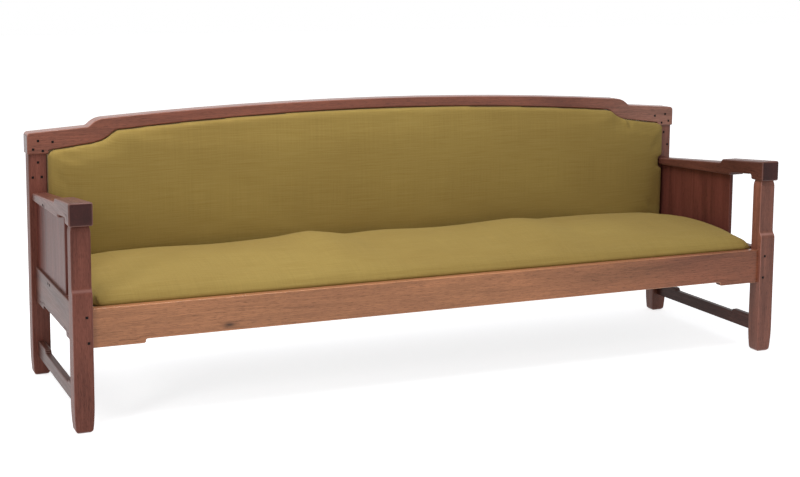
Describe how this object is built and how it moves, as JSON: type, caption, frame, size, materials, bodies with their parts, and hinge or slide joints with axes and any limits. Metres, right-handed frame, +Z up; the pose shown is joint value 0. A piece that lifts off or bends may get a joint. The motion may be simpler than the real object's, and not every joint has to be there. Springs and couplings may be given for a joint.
{
  "type": "mission style upholstered settle",
  "caption": "Long mission style settle with an arched, stepped crest rail, sloping arms over open fronted side panels, and olive fabric seat and back.",
  "frame": {"origin": "on the floor, under the middle of the settle's bounding box", "axes": "+Z up, +X towards the right end as seen from the front, -Y towards the front where people sit"},
  "size_m": [2.4416, 0.714, 0.8685],
  "materials": {
    "mahogany": "satin oiled reddish brown mahogany",
    "plug_wood": "dark satin hardwood plugs",
    "frame_wood": "plain pale secondary wood, unfinished",
    "upholstery": "olive mustard plain weave wool cloth",
    "webbing": "jute webbing",
    "dust_cloth": "thin black lining cloth",
    "screw_steel": "plain steel wood screws"
  },
  "bodies": {
    "root": {"arm_left": "mahogany", "arm_plugs": "plug_wood", "arm_right": "mahogany", "back_batten_left": "frame_wood", "back_batten_right": "frame_wood", "back_cushion": "upholstery", "back_frame_bottom": "frame_wood", "back_frame_muntin_left": "frame_wood", "back_frame_muntin_right": "frame_wood", "back_frame_stile_left": "frame_wood", "back_frame_stile_right": "frame_wood", "back_frame_top": "frame_wood", "back_webbing": "webbing", "corner_blocks": "frame_wood", "crest_plugs": "plug_wood", "crest_rail": "mahogany", "dust_cover": "dust_cloth", "front_post_left": "mahogany", "front_post_plugs": "plug_wood", "front_post_right": "mahogany", "front_seat_rail": "mahogany", "outside_back": "upholstery", "rear_post_left": "mahogany", "rear_post_plugs": "plug_wood", "rear_post_right": "mahogany", "rear_seat_rail": "mahogany", "seat_bearer_left": "frame_wood", "seat_bearer_right": "frame_wood", "seat_cleats": "frame_wood", "seat_cushion": "upholstery", "seat_frame_cross_left": "frame_wood", "seat_frame_cross_right": "frame_wood", "seat_frame_end_left": "frame_wood", "seat_frame_end_right": "frame_wood", "seat_frame_front": "frame_wood", "seat_frame_rear": "frame_wood", "seat_webbing": "webbing", "side_panel_left": "mahogany", "side_panel_right": "mahogany", "side_rail_left": "mahogany", "side_rail_plugs": "plug_wood", "side_rail_right": "mahogany", "side_stretcher_left": "mahogany", "side_stretcher_right": "mahogany"}
  },
  "joints": []
}
